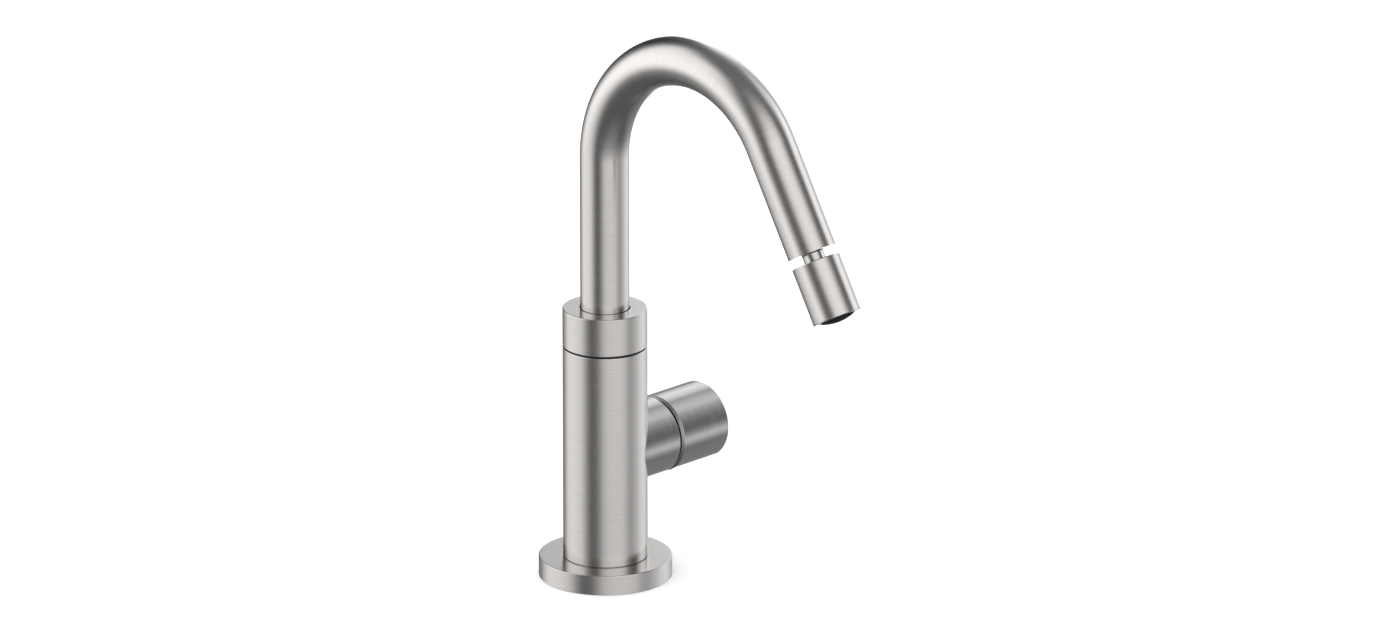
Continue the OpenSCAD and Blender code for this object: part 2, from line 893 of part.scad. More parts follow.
module outlet_barrel() {
    color("silver")
        at_outlet()
            rotate_extrude()
                polygon(concat(
                    [[barrel_bore_r, barrel_t]],
                    arc(barrel_r - edge_r, barrel_t + edge_r, edge_r, -90, 0),
                    arc(barrel_r - edge_r, barrel_end_t - edge_r, edge_r, 0, 90),
                    [[aerator_bore_r, barrel_end_t], [aerator_bore_r, washer_t], [barrel_web_r, washer_t],
                     [barrel_web_r, web_t], [barrel_bore_r, web_t]]));
}

// Screwed in behind the ball, with a mouth that leaves the neck room to tilt
module ball_retainer() {
    color("silver")
        at_outlet()
            difference() {
                rotate_extrude()
                    polygon([[mouth_r, barrel_t], [thread_r, barrel_t], [thread_r, pivot_t], [0, pivot_t],
                             [0, lip_t], [throat_r, lip_t]]);
                zone(liner_bowl_r, -liner_room, liner_room);
                translate([0, 0, pivot_t])
                    sphere(r = ball_bowl_r);
            }
}

module ball_seat() {
    color("whitesmoke")
        at_outlet()
            difference() {
                translate([0, 0, pivot_t])
                    cylinder(r = thread_r, h = web_t - pivot_t);
                zone(liner_bowl_r, -liner_room, liner_room);
                translate([0, 0, pivot_t])
                    sphere(r = ball_bowl_r);
                translate([0, 0, pivot_t + liner_room + lip_h])
                    cylinder(r = seal_pocket_r, h = ball_r);
            }
}

module ball_seal() {
    color("black")
        at_outlet()
            o_ring(seal_ring_r, seal_r, seal_t);
}

module aerator_washer() {
    color("black")
        at_outlet()
            ring(aerator_r - seat_gap, barrel_web_r + seat_gap, washer_t, flow_t);
}

// The first plate of the aerator, with a circle of fine jets
module flow_disc() {
    color("whitesmoke")
        at_outlet()
            difference() {
                translate([0, 0, flow_t])
                    cylinder(r = cage_bore_r - seat_gap, h = flow_h);
                for (i = [0:jet_count - 1])
                    rotate([0, 0, i * 360 / jet_count])
                        translate([jet_circle_r, 0, flow_t - over])
                            cylinder(r = jet_r, h = flow_h + 2 * over);
            }
}

module aerator_screens() {
    color("lightgray")
        at_outlet()
            for (i = [0:screen_count - 1])
                translate([0, 0, flow_t + flow_h + i * screen_pitch])
                    cylinder(r = cage_bore_r - seat_gap, h = screen_h);
}

// The honeycomb's cells with their centres between two radii
module comb_cells(near, far, low) {
    translate([0, 0, low])
        linear_extrude(height = dome_end_t + over - low)
            for (i = [-comb_rows:comb_rows], j = [-comb_rows:comb_rows]) {
                x = (i + j / 2) * comb_pitch;
                y = j * comb_pitch * sin(60);
                if (norm([x, y]) >= near && norm([x, y]) < far)
                    translate([x, y])
                        rotate([0, 0, 30])
                            circle(r = (comb_pitch - comb_wall) / sqrt(3), $fn = 6);
            }
}

// The black insert: a sleeve with a domed honeycomb, where the cells at the edge are open for the key
module aerator_cage() {
    color("black")
        at_outlet()
            difference() {
                rotate_extrude()
                    polygon(concat(
                        [[0, comb_t], [cage_bore_r, comb_t], [cage_bore_r, flow_t], [aerator_r, flow_t],
                         [aerator_r, cage_end_t], [dome_r, cage_end_t]],
                        arc(0, dome_end_t - dome_ball_r, dome_ball_r, dome_foot_angle, 90)));
                comb_cells(0, comb_inner_r, comb_t - over);
                comb_cells(comb_inner_r, comb_outer_r, cage_end_t + edge_cell_rise);
            }
}

base_flange();
deck_gasket();
valve_body();
port_seals();
cartridge_base();
cartridge_housing();
fixed_disc();
retaining_nut();
swivel_washer();
swivel_screw();
cartridge_stem();
stem_o_ring();
disc_carrier();
moving_disc();
knob();
knob_insert();
insert_screw();
knob_grub_screw();
spout_collar();
spout_tube();
spout_spigot();
spigot_o_rings();
guide_ring();
outlet_plug();
plug_o_ring();
ball_stud();
ball_liner();
outlet_barrel();
ball_retainer();
ball_seat();
ball_seal();
aerator_washer();
flow_disc();
aerator_screens();
aerator_cage();
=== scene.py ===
"""Looks of the bidet mixer tap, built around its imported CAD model.

Each visible turned or bent metal piece is worked out again as a fine closed skin from the same sizes as the CAD,
with exact normals, because the soft reflections on satin steel show every facet. A map runs along each profile,
and the streaks of the brushing follow it. Lengths are in millimetres until skin() turns them into metres. The row
frame has +Z up the column, the spout towards -Y and the knob towards +X, with the origin under the foot's middle.
"""

import json
import math

import bpy
import numpy as np
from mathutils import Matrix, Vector
from mathutils.geometry import delaunay_2d_cdt


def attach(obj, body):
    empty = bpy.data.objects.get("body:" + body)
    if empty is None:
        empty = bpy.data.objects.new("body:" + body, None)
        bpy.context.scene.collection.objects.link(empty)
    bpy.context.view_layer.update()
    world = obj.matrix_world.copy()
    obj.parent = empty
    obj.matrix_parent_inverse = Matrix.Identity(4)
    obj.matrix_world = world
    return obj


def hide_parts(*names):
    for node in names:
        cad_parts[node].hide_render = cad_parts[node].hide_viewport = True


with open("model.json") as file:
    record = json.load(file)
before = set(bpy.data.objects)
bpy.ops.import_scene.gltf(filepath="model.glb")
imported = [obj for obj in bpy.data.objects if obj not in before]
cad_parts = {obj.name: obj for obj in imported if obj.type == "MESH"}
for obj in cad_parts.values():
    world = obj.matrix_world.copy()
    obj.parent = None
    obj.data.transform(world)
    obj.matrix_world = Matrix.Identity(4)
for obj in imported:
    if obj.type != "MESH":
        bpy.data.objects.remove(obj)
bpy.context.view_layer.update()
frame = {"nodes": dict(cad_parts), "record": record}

MM = 0.001

# How fine the skins are: steps round a piece, round a small hole, round a rounded edge, along the bend and over
# the ball, and the millimetres between the loose points of a pierced wall
SEGMENTS, HOLE_SEGMENTS, ARC_STEPS, BEND_STEPS, BALL_STEPS = 192, 48, 6, 100, 48
WALL_STEP = 2.0

# Points in the same cell of this size become one. The cells are shifted by this share of themselves, so that round
# coordinates don't lie on their limits. The filling of flat regions has a finer reach.
WELD, CELL_SHIFT, FILL_REACH = 1e-4, 0.31337, 1e-6

# The finish of a patch: round walls, flat faces, 45 degree chamfers and the column's underside. The chamfers take
# a darker steel, which is painted shade: it dims their highlight and darkens the gap between boss and knob. A face
# is flat where its normal leans more than FLAT along the axis, and a chamfer's leans by CHAMFER.
SATIN, SMOOTH, SHADED_CHAMFER, PLAIN = 0, 1, 2, 3
FLAT, CHAMFER = 0.99, math.sqrt(0.5)
PROFILE_MAP = "profile"

# The camera of the photograph, solved from the edges in it, in metres
CAMERA_AT = (-3.5140, -3.4809, 1.7861)
CAMERA_TO = (0.02750, -0.03175, 0.12273)
LENS = 301.5
CAMERA_REACH = 100

# Sizes of the CAD model
FOOT_R, FOOT_H, FOOT_BORE_R = 30.0, 9.1, 18.05
GASKET_R, GASKET_IN_R, GASKET_H = 27.0, 24.0, 1.5
COLUMN_R, COLUMN_TOP, SHANK_R = 19.0, 107.8, 18.0
SOCKET_R, SOCKET_FLOOR = 12.05, 80.0
KNOB_Z, BOSS_R, BOSS_END, BOSS_CHAMFER = 58.2, 17.5, 31.0, 0.8
ROOM_R, ROOM_FLOOR, NUT_R, NUT_FLOOR = 12.6, -4.0, 15.0, 22.0
SCREW_R, SCREW_Z, SCREW_FLOOR = 2.5, 98.8, 12.4
KNOB_R, KNOB_BORE_R, KNOB_START, KNOB_END, KNOB_WALL = 17.5, 15.5, 32.2, 61.4, 2.5
KNOB_CHAMFER = 1.0
GRUB_R, GRUB_X, GRUB_FLOOR = 2.05, 40.0, 15.6
TUBE_R, TUBE_BORE_R, TUBE_LOW = 11.0, 10.0, 111.5
BEND_Z, BEND_R, BEND_ANGLE, LEG = 196.5, 55.0, math.radians(150), 50.0
COLLAR_LOW, COLLAR_TOP, COLLAR_BORE_R, FLANGE_R = 108.5, 125.9, 11.05, 15.0
PLUG_R, PLUG_H, PLUG_GROOVE_R, PLUG_GROOVE_LOW, PLUG_GROOVE_HIGH = 9.95, 8.0, 8.1, -5.5, -3.3
NECK_R, NECK_THREAD_R, STUD_BORE_R = 4.85, 4.0, 2.8
BALL_R, BALL_AT, BALL_FLAT, HEX_R, HEX_H = 8.5, 11.0, 0.9, 3.4, 3.0
BARREL_R, BARREL_START, BARREL_END, BARREL_BORE_R = 11.0, 4.0, 30.5, 9.9
WEB_LOW, WEB_HIGH, WEB_R, AERATOR_BORE_R = 18.64, 19.64, 5.39, 8.8

# The bores from below, as (x, y, radius, depth): the two hoses and the fixing stud
BORES = ((-9.0, 6.5, 4.46, 12.0), (-9.0, -6.5, 4.46, 12.0), (9.0, 0.0, 3.4, 15.0))

# Small forms of the scene's own: rounded edges, the gap round the tube in the collar's top, the groove at the
# column's foot, and the flare under the tube's end with a thin step behind it
EDGE, SMALL_EDGE, FINE_EDGE = 0.4, 0.2, 0.1
GAP, GAP_DEPTH = 0.4, 2.0
SEAM_H, SEAM_DEPTH = 0.3, 0.8
FLARE_R, FLARE_STEP = 0.6, 0.001

# Where a piece stands, as a turn and an origin. A piece's own axis is the third row of its turn.
BEND_SIN, BEND_COS = math.sin(BEND_ANGLE), math.cos(BEND_ANGLE)
COLUMN = (np.eye(3), np.zeros(3))
KNOB = (np.array([[0, 0, -1], [0, 1, 0], [1, 0, 0]], float), np.array([0, 0, KNOB_Z]))
OUTLET = (
    np.array([[1, 0, 0], [0, BEND_COS, BEND_SIN], [0, -BEND_SIN, BEND_COS]], float),
    np.array([0, -BEND_R * (1 - BEND_COS) - LEG * BEND_SIN, BEND_Z + BEND_R * BEND_SIN + LEG * BEND_COS]),
)
SWIVEL_SCREW = (np.array([[1, 0, 0], [0, 0, -1], [0, 1, 0]], float), np.array([0, 0, SCREW_Z]))
GRUB_SCREW = (np.array([[0, 1, 0], [0, 0, 1], [1, 0, 0]], float) @ KNOB[0], KNOB[1] + GRUB_X * KNOB[0][2])


def unit(v):
    return v / np.linalg.norm(v, axis=-1, keepdims=True)


def lengths_along(points):
    """The length of the way from the first point to each of them, in straight steps."""
    return np.concatenate([[0], np.cumsum(np.linalg.norm(np.diff(points, axis=0), axis=1))])


def outline(corners, closed=True):
    """A turned profile, walked with the metal on its left. A corner is (radius, height, rounding). Each straight
    run and each round corner is a run of its own, of rows (radius, height, normal's radius, normal's height). The
    normal is the walk's direction turned a quarter to the right. A round corner is the circle that touches both
    walls, walked in even steps of its turn."""
    p = np.array([c[:2] for c in corners], float)
    rounding = np.array([c[2] if len(c) > 2 else 0 for c in corners], float)
    d = unit(np.roll(p, -1, 0) - p)
    before = np.roll(d, 1, 0)
    turn = np.arctan2(before[:, 0] * d[:, 1] - before[:, 1] * d[:, 0], (before * d).sum(1))
    cut = rounding * np.tan(np.abs(turn) / 2)
    count = len(p)
    runs = []
    for i in range(count if closed else count - 1):
        k = (i + 1) % count
        normal = np.array([d[i, 1], -d[i, 0]])
        start, end = p[i] + d[i] * cut[i], p[k] - d[i] * cut[k]
        if np.linalg.norm(end - start) > WELD and max(start[0], end[0]) > WELD:
            runs.append(np.array([[*start, *normal], [*end, *normal]]))
        if rounding[k] and (closed or k < count - 1):
            side = math.copysign(1, turn[k])
            a = math.atan2(normal[1], normal[0]) + turn[k] * np.linspace(0, 1, ARC_STEPS + 1)
            n = np.stack([np.cos(a), np.sin(a)], 1)
            runs.append(np.concatenate([end - side * rounding[k] * normal + side * rounding[k] * n, n], 1))
    return runs


def grid_triangles(rows, columns):
    """Two triangles for each cell of a grid of rows by columns points, facing along the columns' way crossed with
    the rows' way."""
    at = np.arange(rows * columns).reshape(rows, columns)
    a, b, c, d = at[:-1, :-1], at[:-1, 1:], at[1:, 1:], at[1:, :-1]
    return np.concatenate([np.stack([a, b, c], -1), np.stack([a, c, d], -1)]).reshape(-1, 3)


def patch(points, normals, along, around, place=COLUMN, finish=SATIN, inward=False):
    """A grid as (points, normals, map, triangles, finish). The map's first number is the length along the profile,
    and its second the length around."""
    turn, origin = place
    triangles = grid_triangles(*points.shape[:2])
    return (
        points.reshape(-1, 3) @ turn + origin,
        normals.reshape(-1, 3) @ turn,
        np.stack(np.broadcast_arrays(along, around), -1).reshape(-1, 2),
        triangles[:, ::-1] if inward else triangles,
        finish,
    )


def ring_angles(segments=SEGMENTS):
    """Even angles from nothing to a full turn, which is written as nothing again."""
    a = np.linspace(0, 2 * math.pi, segments + 1)
    a[-1] = 0
    return a


def ring_lengths(radius, segments=SEGMENTS):
    return np.linspace(0, 2 * math.pi * radius, segments + 1)


def finish_of(run):
    """The finish of a profile's run, by how far its normals lean along the axis."""
    slope = np.abs(run[:, 3])
    if slope.min() > FLAT:
        return SMOOTH
    return SHADED_CHAMFER if np.allclose(slope, CHAMFER) else SATIN


def turned(runs, place=COLUMN, segments=SEGMENTS, start=0.0):
    """A profile carried round its axis: a row (radius, height) becomes (radius cos a, radius sin a, height), and
    its normal turns with it, for a from nothing to a full turn."""
    a = ring_angles(segments)
    c, s = np.cos(a), np.sin(a)
    around = ring_lengths(max(run[:, 0].max() for run in runs), segments)
    made, length = [], start
    for run in runs:
        r, h, nr, nh = run.T[:, :, None]
        lengths = length + lengths_along(run[:, :2])
        length = lengths[-1]
        points = np.stack([r * c, r * s, h + 0 * a], -1)
        normals = np.stack([nr * c, nr * s, nh + 0 * a], -1)
        made.append(patch(points, normals, lengths[:, None], around, place, finish_of(run)))
    return made


def flat_ring(start, end, height, way=1, place=COLUMN, segments=SEGMENTS):
    """A flat face between two radii at one height, which faces along the axis, or against it where way is -1."""
    return turned([np.array([[start, height, 0, way], [end, height, 0, way]])], place, segments)


def shaft(radius, ends, place=COLUMN, segments=SEGMENTS, finish=SATIN, inward=False):
    """A round wall between two heights that may change on the way round: ends(a) gives both for each angle a."""
    a = ring_angles(segments)
    c, s = np.cos(a), np.sin(a)
    heights = np.stack(ends(a))
    points = np.stack([radius * c + 0 * heights, radius * s + 0 * heights, heights], -1)
    normals = np.stack([c + 0 * heights, s + 0 * heights, 0 * heights], -1) * (-1 if inward else 1)
    return [patch(points, normals, heights, ring_lengths(radius, segments), place, finish, inward)]


def blind_hole(radius, floor, wall_r, place):
    """A small hole square through a round wall. Its own wall goes from its floor to the round wall, at the root of
    that wall's radius squared less the sideways reach squared."""
    def ends(a):
        return 0 * a + floor, np.sqrt(wall_r ** 2 - (radius * np.cos(a)) ** 2)

    return (shaft(radius, ends, place, HOLE_SEGMENTS, inward=True)
            + flat_ring(radius, 0, floor, 1, place, HOLE_SEGMENTS))


def flat_filled(loops, points, keep):
    """Triangles of a flat region: the constrained Delaunay ones whose middles keep() takes. loops are closed rings
    of corners, and points lie loose between them. Returns (corners, triangles)."""
    corners = np.concatenate([*loops, points])
    edges, first = [], 0
    for loop in loops:
        k = np.arange(len(loop))
        edges.append(np.stack([first + k, first + (k + 1) % len(loop)], 1))
        first += len(loop)
    _, _, faces, origins, _, _ = delaunay_2d_cdt(
        [Vector(c) for c in corners.tolist()], np.concatenate(edges).tolist(), [], 0, FILL_REACH)
    flat = corners[[same[0] for same in origins]]
    triangles = np.array([list(t) for t in faces])
    return flat, triangles[keep(flat[triangles].mean(1))]


def pierced(radius, low, high, holes, inside, place=COLUMN):
    """A round wall with holes: it is unrolled to (radius times angle, height), filled with triangles around the
    holes' outlines and rolled up again. Loose points keep clear of the outlines. inside(angle, height) says which
    points lie in a hole."""
    angles = np.linspace(-math.pi, math.pi, SEGMENTS + 1)
    heights = np.linspace(low, high, int((high - low) / WALL_STEP) + 2)
    between = heights[1:-1]
    box = np.concatenate([
        np.stack([angles, 0 * angles + low], 1),
        np.stack([0 * between + math.pi, between], 1),
        np.stack([angles, 0 * angles + high], 1)[::-1],
        np.stack([0 * between - math.pi, between], 1)[::-1],
    ])
    a, h = np.meshgrid(angles[1:-1], between)
    loose = np.stack([a.ravel(), h.ravel()], 1)
    for hole in holes:
        aside = (loose[:, None, 0] - hole[None, :, 0]) * radius
        above = loose[:, None, 1] - hole[None, :, 1]
        loose = loose[np.min(np.hypot(aside, above), 1) > WALL_STEP / 4]
    loose = loose[~inside(loose[:, 0], loose[:, 1])]
    scale = np.array([radius, 1])
    flat, triangles = flat_filled(
        [box * scale] + [hole * scale for hole in holes], loose * scale,
        lambda m: ~inside(m[:, 0] / radius, m[:, 1]))
    angle = flat[:, 0] / radius
    angle[np.isclose(angle, math.pi)] = -math.pi
    n = np.stack([np.cos(angle), np.sin(angle), 0 * angle], 1)
    points = np.stack([radius * n[:, 0], radius * n[:, 1], flat[:, 1]], 1)
    turn, origin = place
    return [(points @ turn + origin, n @ turn, flat[:, ::-1], triangles, SATIN)]


def swept(radius, inward=False):
    """The spout's wall: circles set square on a path that goes straight up, round the bend and straight on. The
    circle's first axis is the bend's own axis, and its second is the path's direction crossed with it."""
    turn = np.linspace(0, BEND_ANGLE, BEND_STEPS + 1)
    bend = np.stack([0 * turn, -BEND_R * (1 - np.cos(turn)), BEND_Z + BEND_R * np.sin(turn)], 1)
    centres = np.concatenate([[[0, 0, TUBE_LOW]], bend, OUTLET[1][None]])
    b = np.concatenate([[0], turn, [BEND_ANGLE]])
    second = np.stack([0 * b, np.cos(b), np.sin(b)], 1)
    a = ring_angles()
    normals = np.cos(a)[None, :, None] * np.array([1.0, 0, 0]) + np.sin(a)[None, :, None] * second[:, None]
    points = centres[:, None] + radius * normals
    return [patch(points, -normals if inward else normals, lengths_along(centres)[:, None],
                  ring_lengths(radius), inward=inward)]


def skin(name, patches, materials, body, replaced):
    """Joins patches into one closed mesh: points in the same place become one, triangles without a width go, and
    each corner keeps its own patch's normal and map. A patch's finish says which of the materials it takes."""
    counts = np.cumsum([0] + [len(p[0]) for p in patches])
    points, normals, chart = (np.concatenate([p[i] for p in patches]) for i in range(3))
    triangles = np.concatenate([p[3] + counts[i] for i, p in enumerate(patches)])
    cells = np.floor(points / WELD + CELL_SHIFT)
    _, first, welded = np.unique(cells, axis=0, return_index=True, return_inverse=True)
    t = welded.reshape(-1)[triangles]
    full = (t[:, 0] != t[:, 1]) & (t[:, 1] != t[:, 2]) & (t[:, 2] != t[:, 0])
    t, corner = t[full], triangles[full].ravel()
    finish = np.repeat([p[4] for p in patches], [len(p[3]) for p in patches])[full]
    mesh = bpy.data.meshes.new(name)
    mesh.vertices.add(len(first))
    mesh.vertices.foreach_set("co", (points[first] * MM).astype(np.float32).ravel())
    mesh.loops.add(t.size)
    mesh.loops.foreach_set("vertex_index", t.ravel().astype(np.int32))
    mesh.polygons.add(len(t))
    mesh.polygons.foreach_set("loop_start", np.arange(0, t.size, 3, dtype=np.int32))
    mesh.update(calc_edges=True)
    profile = mesh.uv_layers.new(name=PROFILE_MAP)
    profile.data.foreach_set("uv", (chart[corner] * MM).astype(np.float32).ravel())
    mesh.polygons.foreach_set("use_smooth", np.ones(len(t), bool))
    mesh.normals_split_custom_set(unit(normals)[corner].tolist())
    for material in materials:
        mesh.materials.append(material)
    mesh.polygons.foreach_set("material_index", finish.astype(np.int32))
    made = bpy.data.objects.new(name, mesh)
    bpy.context.scene.collection.objects.link(made)
    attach(made, body)
    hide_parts(*replaced)


def wired(tree, kind, settings=(), **inputs):
    """A node with its settings and its inputs: an input is a value, or another node's output socket."""
    made = tree.nodes.new(kind)
    for key, value in dict(settings).items():
        setattr(made, key, value)
    for key, value in inputs.items():
        names = {s.name.replace(" ", "_").lower(): s for s in made.inputs if s.enabled}
        socket = made.inputs[int(key[1:])] if key[0] == "i" and key[1:].isdigit() else names[key]
        if isinstance(value, bpy.types.NodeSocket):
            tree.links.new(value, socket)
        else:
            socket.default_value = value
    return made


def blank_material(name):
    material = bpy.data.materials.new(name)
    material.use_nodes = True
    tree = material.node_tree
    tree.nodes.clear()
    return material, tree, tree.nodes.new("ShaderNodeOutputMaterial")


# The part of a noise's range that moves the finishes, how many finer noises it has, and how strong those are. The
# streaks of the brushing change over STREAK metres across them, and over DRIFT metres along them.
NOISE_LOW, NOISE_HIGH, NOISE_DETAIL = 0.3, 0.7, 3.0
STREAK_STRENGTH, GRAIN_STRENGTH = 0.65, 0.6
STREAK, DRIFT = 0.0006, 0.012


def varied(tree, noise, dark, light, roughness, spread):
    """A colour between dark and light, and a roughness that goes up and down by spread, both moved by a noise."""
    colour = wired(tree, "ShaderNodeMapRange", {"data_type": "FLOAT_VECTOR"}, vector=noise,
                   from_min=(NOISE_LOW,) * 3, from_max=(NOISE_HIGH,) * 3, to_min=dark, to_max=light)
    rough = wired(tree, "ShaderNodeMapRange", value=noise, from_min=NOISE_LOW, from_max=NOISE_HIGH,
                  to_min=roughness - spread, to_max=roughness + spread)
    return colour.outputs[1], rough.outputs[0]


def brushed_metal(name, dark, light, roughness, spread):
    """Metal brushed round its axis. Noise that changes quickly along the profile and slowly over the piece moves
    the colour and the roughness, so that they stand in fine streaks."""
    material, tree, out = blank_material(name)
    coordinates = wired(tree, "ShaderNodeTexCoord")
    chart = wired(tree, "ShaderNodeUVMap", {"uv_map": PROFILE_MAP})
    length = wired(tree, "ShaderNodeSeparateXYZ", vector=chart.outputs[0])
    slow = wired(tree, "ShaderNodeVectorMath", {"operation": "SCALE"}, vector=coordinates.outputs["Object"],
                 scale=1 / DRIFT)
    fast = wired(tree, "ShaderNodeMath", {"operation": "MULTIPLY"}, i0=length.outputs[0], i1=1 / STREAK)
    noise = wired(tree, "ShaderNodeTexNoise", {"noise_dimensions": "4D"}, vector=slow.outputs[0],
                  w=fast.outputs[0], scale=1.0, detail=NOISE_DETAIL, roughness=STREAK_STRENGTH)
    colour, rough = varied(tree, noise.outputs[0], dark, light, roughness, spread)
    shader = wired(tree, "ShaderNodeBsdfPrincipled", base_color=colour, metallic=1.0, roughness=rough)
    tree.links.new(shader.outputs[0], out.inputs["Surface"])
    return material


def plain_solid(name, dark, light, roughness, spread, grain, depth, metallic=0.0, specular=0.5):
    """A finish without a direction: noise of one grain size moves its colour, roughness and surface. The grain and
    its depth are in metres."""
    material, tree, out = blank_material(name)
    coordinates = wired(tree, "ShaderNodeTexCoord")
    noise = wired(tree, "ShaderNodeTexNoise", vector=coordinates.outputs["Object"], scale=1 / grain,
                  detail=NOISE_DETAIL, roughness=GRAIN_STRENGTH)
    colour, rough = varied(tree, noise.outputs[0], dark, light, roughness, spread)
    bump = wired(tree, "ShaderNodeBump", height=noise.outputs[0], strength=1.0, distance=depth)
    shader = wired(tree, "ShaderNodeBsdfPrincipled", base_color=colour, metallic=metallic, roughness=rough,
                   specular_ior_level=specular, normal=bump.outputs[0])
    tree.links.new(shader.outputs[0], out.inputs["Surface"])
    return material


STEEL_DARK, STEEL_LIGHT = (0.590, 0.586, 0.582), (0.640, 0.636, 0.632)
SATIN_STEEL = brushed_metal("satin_steel", STEEL_DARK, STEEL_LIGHT, 0.25, 0.02)
SMOOTH_STEEL = brushed_metal("smooth_steel", STEEL_DARK, STEEL_LIGHT, 0.22, 0.02)
# The 45 degree chamfers' steel: its dark colour is painted shade, which dims their highlight and darkens the gap
# between boss and knob. Its higher roughness is the chamfers' own cut finish.
SHADED_CHAMFER_STEEL = brushed_metal("cut_steel", (0.350, 0.347, 0.345), (0.390, 0.387, 0.385), 0.42, 0.03)
CAD_FINISHES = {
    "brushed_steel": plain_solid(
        "plain_steel", (0.56, 0.55, 0.54), (0.62, 0.61, 0.6), 0.3, 0.04, 0.0008, 0.000002, metallic=1.0),
    "screw_steel": plain_solid(
        "screw_steel", (0.40, 0.40, 0.41), (0.48, 0.48, 0.49), 0.32, 0.05, 0.0006, 0.000003, metallic=1.0),
    "brass": plain_solid(
        "turned_brass", (0.62, 0.45, 0.2), (0.72, 0.55, 0.28), 0.28, 0.05, 0.0009, 0.000003, metallic=1.0),
    "rubber": plain_solid(
        "black_rubber", (0.010, 0.010, 0.011), (0.018, 0.018, 0.019), 0.7, 0.06, 0.0005, 0.00001),
    "black_plastic": plain_solid(
        "black_plastic", (0.004, 0.004, 0.006), (0.007, 0.007, 0.009), 0.42, 0.05, 0.0004, 0.000006,
        specular=0.25),
    "white_plastic": plain_solid(
        "white_plastic", (0.74, 0.74, 0.71), (0.8, 0.8, 0.77), 0.4, 0.05, 0.0007, 0.000005),
    "disc_ceramic": plain_solid(
        "disc_ceramic", (0.82, 0.79, 0.72), (0.88, 0.85, 0.79), 0.15, 0.03, 0.001, 0.000001),
}

# What the patches of a piece take, in the order of their finishes
SATIN_WALLS = (SATIN_STEEL, SMOOTH_STEEL)
SMOOTH_WALLS = (SMOOTH_STEEL, SMOOTH_STEEL)

slots = {row["node"]: row["material_slot"] for row in frame["record"]["subparts"]}
for node, piece in frame["nodes"].items():
    piece.data.materials.clear()
    piece.data.materials.append(CAD_FINISHES[slots[node]])

# The foot, with the groove of its rubber ring
skin("foot", turned(outline([
    (FOOT_BORE_R, 0), (GASKET_IN_R, 0), (GASKET_IN_R, GASKET_H), (GASKET_R, GASKET_H), (GASKET_R, 0),
    (FOOT_R, 0, SMALL_EDGE), (FOOT_R, FOOT_H, EDGE), (FOOT_BORE_R, FOOT_H)])),
    SATIN_WALLS, "tap_body", ["base_flange"])


def in_boss_or_screw(angle, height):
    """Whether a point of the column's wall lies in the boss's root or in the swivel screw's hole."""
    boss = (np.abs(angle) < math.pi / 2) & (np.hypot(COLUMN_R * np.sin(angle), height - KNOB_Z) < BOSS_R)
    screw = (angle > 0) & (np.hypot(COLUMN_R * np.cos(angle), height - SCREW_Z) < SCREW_R)
    return boss | screw


def underside():
    """The column's lower end face, which is the shank's circle without the bores' circles, and the bores, each
    closed at its depth."""
    a, b = ring_angles()[:-1], ring_angles(HOLE_SEGMENTS)[:-1]
    circles = [np.stack([SHANK_R * np.cos(a), SHANK_R * np.sin(a)], 1)]
    bores = []
    for x, y, r, depth in BORES:
        bores += turned(outline([(0, depth), (r, depth), (r, 0)], False), (np.eye(3), np.array([x, y, 0])),
                        HOLE_SEGMENTS)
        circles.append(np.stack([x + r * np.cos(b), y + r * np.sin(b)], 1))

    def in_metal(m):
        clear = [np.hypot(m[:, 0] - x, m[:, 1] - y) > r for x, y, r, _ in BORES]
        return (np.hypot(*m.T) < SHANK_R) & np.all(clear, 0)

    flat, triangles = flat_filled(circles, np.zeros((0, 2)), in_metal)
    down = np.tile([0, 0, -1.0], (len(flat), 1))
    return bores + [(np.pad(flat, ((0, 0), (0, 1))), down, flat, triangles[:, ::-1], PLAIN)]


def column_and_boss():
    """The column's wall has two holes, where the boss leaves it and where the swivel screw goes in. The boss's
    wall starts on the column, at the root of the column's radius squared less the sideways reach squared."""
    a, b = ring_angles()[:-1], ring_angles(HOLE_SEGMENTS)[:-1]
    boss_hole = np.stack([np.arcsin(BOSS_R * np.sin(a) / COLUMN_R), KNOB_Z - BOSS_R * np.cos(a)], 1)
    screw_hole = np.stack([np.arccos(SCREW_R * np.cos(b) / COLUMN_R), SCREW_Z - SCREW_R * np.sin(b)], 1)
    low, high = FOOT_H + 2 * EDGE, COLUMN_TOP - EDGE
    wall = pierced(COLUMN_R, low, high, [boss_hole, screw_hole], in_boss_or_screw)
    top = turned(outline([
        (COLUMN_R, high), (COLUMN_R, COLUMN_TOP, EDGE), (SOCKET_R, COLUMN_TOP, SMALL_EDGE),
        (SOCKET_R, SOCKET_FLOOR), (0, SOCKET_FLOOR)], False), start=high)
    seam_r, seam_top = COLUMN_R - SEAM_DEPTH, FOOT_H + SEAM_H
    step = turned(outline([
        (SHANK_R, 0), (SHANK_R, FOOT_H), (seam_r, FOOT_H), (seam_r, seam_top), (COLUMN_R, seam_top, FINE_EDGE),
        (COLUMN_R, low)], False))
    rim = BOSS_END - BOSS_CHAMFER

    def boss_ends(t):
        return np.sqrt(COLUMN_R ** 2 - (BOSS_R * np.sin(t)) ** 2), 0 * t + rim - EDGE

    boss = shaft(BOSS_R, boss_ends, KNOB, finish=SMOOTH)
    end = turned(outline([
        (BOSS_R, rim - EDGE), (BOSS_R, rim, SMALL_EDGE), (BOSS_R - BOSS_CHAMFER, BOSS_END, SMALL_EDGE),
        (NUT_R, BOSS_END, SMALL_EDGE), (NUT_R, NUT_FLOOR), (ROOM_R, NUT_FLOOR), (ROOM_R, ROOM_FLOOR),
        (0, ROOM_FLOOR)], False), KNOB, start=rim - EDGE)
    screw = blind_hole(SCREW_R, SCREW_FLOOR, COLUMN_R, SWIVEL_SCREW)
    return wall + top + step + boss + end + screw + underside()


# The boss's chamfer takes the darker steel of painted shade, for the gap before the knob
skin("column_and_boss", column_and_boss(),
     (SATIN_STEEL, SMOOTH_STEEL, SHADED_CHAMFER_STEEL, CAD_FINISHES["brushed_steel"]), "tap_body",
     ["valve_body"])

